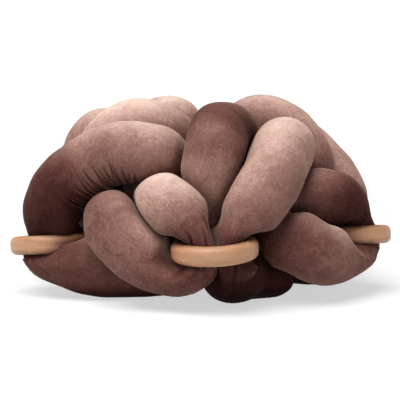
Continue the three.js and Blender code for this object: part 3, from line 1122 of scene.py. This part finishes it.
def beech():
    material, tree, shader = nodes_of("beech")
    place = add(tree, "ShaderNodeTexCoord").outputs["Object"]
    wide = noise(tree, stretched(tree, place, WIDE_STRETCH), *WIDE)
    fine = noise(tree, stretched(tree, place, FINE_STRETCH), *FINE)
    fleck = noise(tree, stretched(tree, place, FLECK_STRETCH), *FLECK)
    mix = weighted(tree, (wide, WIDE_SHARE), (fine, FINE_SHARE), (fleck, FLECK_SHARE))
    # Painted shade on the wood near the cloth
    mix = less(tree, mix, attribute(tree, "painted_cloth_shade"), CLOTH_SHADE)
    colour = ramp(tree, mix, WOOD)
    tree.links.new(colour, shader.inputs["Base Color"])
    grain = math_node(tree, "MULTIPLY", fine, WOOD_ROUGH_GRAIN)
    rough = math_node(tree, "ADD", grain, WOOD_ROUGH)
    tree.links.new(rough, shader.inputs["Roughness"])
    shader.inputs["Specular IOR Level"].default_value = WOOD_GLOSS
    bumped(tree, shader, fine, *WOOD_BUMP)
    return material


def ring_object(ring, material, cloth):
    name = ring[0]
    profile = []
    middle = RING_OUTER_RADIUS - RING_WALL / 2
    for cx, cz, start in ((1, 1, 0), (-1, 1, 90), (-1, -1, 180), (1, -1, 270)):
        for k in range(CORNER_STEPS + 1):
            a = math.radians(start + 90 * k / CORNER_STEPS)
            x = middle + cx * (RING_WALL / 2 - RING_CORNER) + RING_CORNER * math.cos(a)
            z = cz * (RING_HEIGHT / 2 - RING_CORNER) + RING_CORNER * math.sin(a)
            profile.append((x, z))
    centre, outward, along, axis = ring_frame(ring)
    centre = centre - np.array([MIDDLE[0], MIDDLE[1], 0])
    vertices, faces = [], []
    n = len(profile)
    for i in range(RING_STEPS):
        b = 2 * math.pi * i / RING_STEPS
        spoke = along * math.cos(b) + outward * math.sin(b)
        for x, z in profile:
            vertices.append((centre + spoke * x + axis * z) / METRE)
    for i in range(RING_STEPS):
        for j in range(n):
            k, m = (i + 1) % RING_STEPS, (j + 1) % n
            faces.append((i * n + j, k * n + j, k * n + m, i * n + m))
    mesh = bpy.data.meshes.new("turned_" + name)
    mesh.from_pydata(vertices, [], faces)
    mesh.polygons.foreach_set("use_smooth", np.ones(len(faces), dtype=bool))
    mesh.materials.append(material)

    # Painted shade: the wood is darker where the cloth lies close over it.
    painted_cloth_shade = np.array([cloth.find(v)[2] for v in vertices]) / CLOTH_SHADE_REACH
    layer = mesh.attributes.new("painted_cloth_shade", "FLOAT", "POINT")
    layer.data.foreach_set("value", fade(painted_cloth_shade).astype(np.float32))
    obj = bpy.data.objects.new("turned_" + name, mesh)
    bpy.context.collection.objects.link(obj)
    return obj


# Camera at the photograph's angle
ELEVATION = math.radians(VIEW_ELEVATION)
aim = np.array([-MIDDLE[0], -MIDDLE[1], AIM_HEIGHT]) / METRE
camera_data = bpy.data.cameras.new("camera")
camera_data.sensor_width = SENSOR
camera_data.lens = SENSOR * (DISTANCE * METRE / PIXEL) / PHOTO_WIDTH
camera_data.clip_end = FARTHEST
camera = bpy.data.objects.new("camera", camera_data)
bpy.context.collection.objects.link(camera)
camera.location = aim + DISTANCE * np.array([0, -math.cos(ELEVATION), math.sin(ELEVATION)])
camera.rotation_euler = (math.pi / 2 - ELEVATION, 0, 0)
bpy.context.scene.camera = camera

# The velvet tube
tube = build_tube()
velvet_tube = tube_object(tube)
velvet_tube.data.materials.append(velvet())
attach(velvet_tube, "root")
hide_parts("cushion")

# The rings
wood = beech()
cloth_points = tube["points"][::CLOTH_EVERY, ::CLOTH_EVERY].reshape(-1, 3) / METRE
cloth = KDTree(len(cloth_points))
for number, point in enumerate(cloth_points):
    cloth.insert(point, number)
cloth.balance()
for ring in RINGS:
    wooden = ring_object(ring, wood, cloth)
    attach(wooden, "root")
    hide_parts(ring[0])

# Floor and soft studio light
bpy.ops.mesh.primitive_circle_add(
    radius=STUDIO_RADIUS, vertices=STUDIO_SIDES, fill_type="NGON", location=(0, 0, 0)
)
floor = bpy.context.object
floor.name = "floor"
paper, _, paper_shader = nodes_of("paper")
paper_shader.inputs["Base Color"].default_value = (FLOOR_GREY, FLOOR_GREY, FLOOR_GREY, 1)
paper_shader.inputs["Emission Color"].default_value = (1, 1, 1, 1)
paper_shader.inputs["Emission Strength"].default_value = FLOOR_GLOW
paper_shader.inputs["Roughness"].default_value = FLOOR_ROUGH
floor.data.materials.append(paper)

bpy.ops.mesh.primitive_cylinder_add(
    radius=STUDIO_RADIUS,
    depth=STUDIO_HEIGHT,
    vertices=STUDIO_SIDES,
    end_fill_type="NOTHING",
    location=(0, 0, STUDIO_HEIGHT / 2),
)
wall = bpy.context.object
wall.name = "backdrop"
bright, _, bright_shader = nodes_of("backdrop")
bright_shader.inputs["Base Color"].default_value = (0, 0, 0, 1)
bright_shader.inputs["Emission Color"].default_value = (1, 1, 1, 1)
bright_shader.inputs["Emission Strength"].default_value = WALL_GLOW
wall.data.materials.append(bright)

world = bpy.data.worlds.new("studio")
bpy.context.scene.world = world
world.use_nodes = True
world.node_tree.nodes["Background"].inputs[0].default_value = (1, 1, 1, 1)
world.node_tree.nodes["Background"].inputs[1].default_value = WORLD


def soft_light(name, azimuth, elevation, spread, strength):
    data = bpy.data.lights.new(name, "SUN")
    data.angle = math.radians(spread)
    data.energy = strength
    obj = bpy.data.objects.new(name, data)
    bpy.context.collection.objects.link(obj)
    obj.rotation_euler = (math.radians(90 - elevation), 0, math.radians(azimuth))


for lamp in LIGHTS:
    soft_light(*lamp)

bpy.context.scene.view_settings.view_transform = "Standard"
